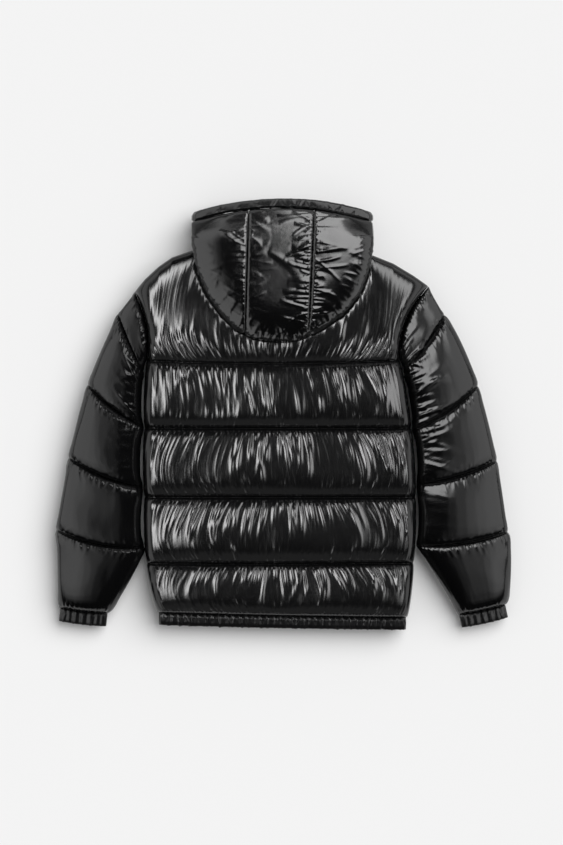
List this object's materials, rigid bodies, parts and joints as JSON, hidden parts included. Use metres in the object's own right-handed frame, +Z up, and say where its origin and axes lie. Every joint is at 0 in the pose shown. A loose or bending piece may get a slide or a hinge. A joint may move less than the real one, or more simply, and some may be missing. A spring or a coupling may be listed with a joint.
{
  "type": "hooded puffer jacket",
  "caption": "Hooded puffer jacket lying flat on its front, with a quilted back and sleeves, the hood folded down on the yoke, and gathered cuffs and hem.",
  "frame": {"origin": "on the surface that the jacket lies on, under the middle of its outline", "axes": "+X across the jacket, +Y from the hem towards the hood, +Z up from the surface to the back"},
  "size_m": [0.8575, 0.8049, 0.1014],
  "materials": {
    "nylon": "glossy",
    "elastic": "satin",
    "zip_teeth": "matte"
  },
  "bodies": {
    "root": {"back": "nylon", "front_left": "nylon", "front_right": "nylon", "sleeve_left": "nylon", "sleeve_right": "nylon", "cuff_left": "elastic", "cuff_right": "elastic", "hem_back": "elastic", "hem_left": "elastic", "hem_right": "elastic", "hood_centre": "nylon", "hood_left": "nylon", "hood_right": "nylon", "hood_brim": "nylon", "collar_left": "nylon", "collar_right": "nylon", "zip": "zip_teeth"}
  },
  "joints": []
}
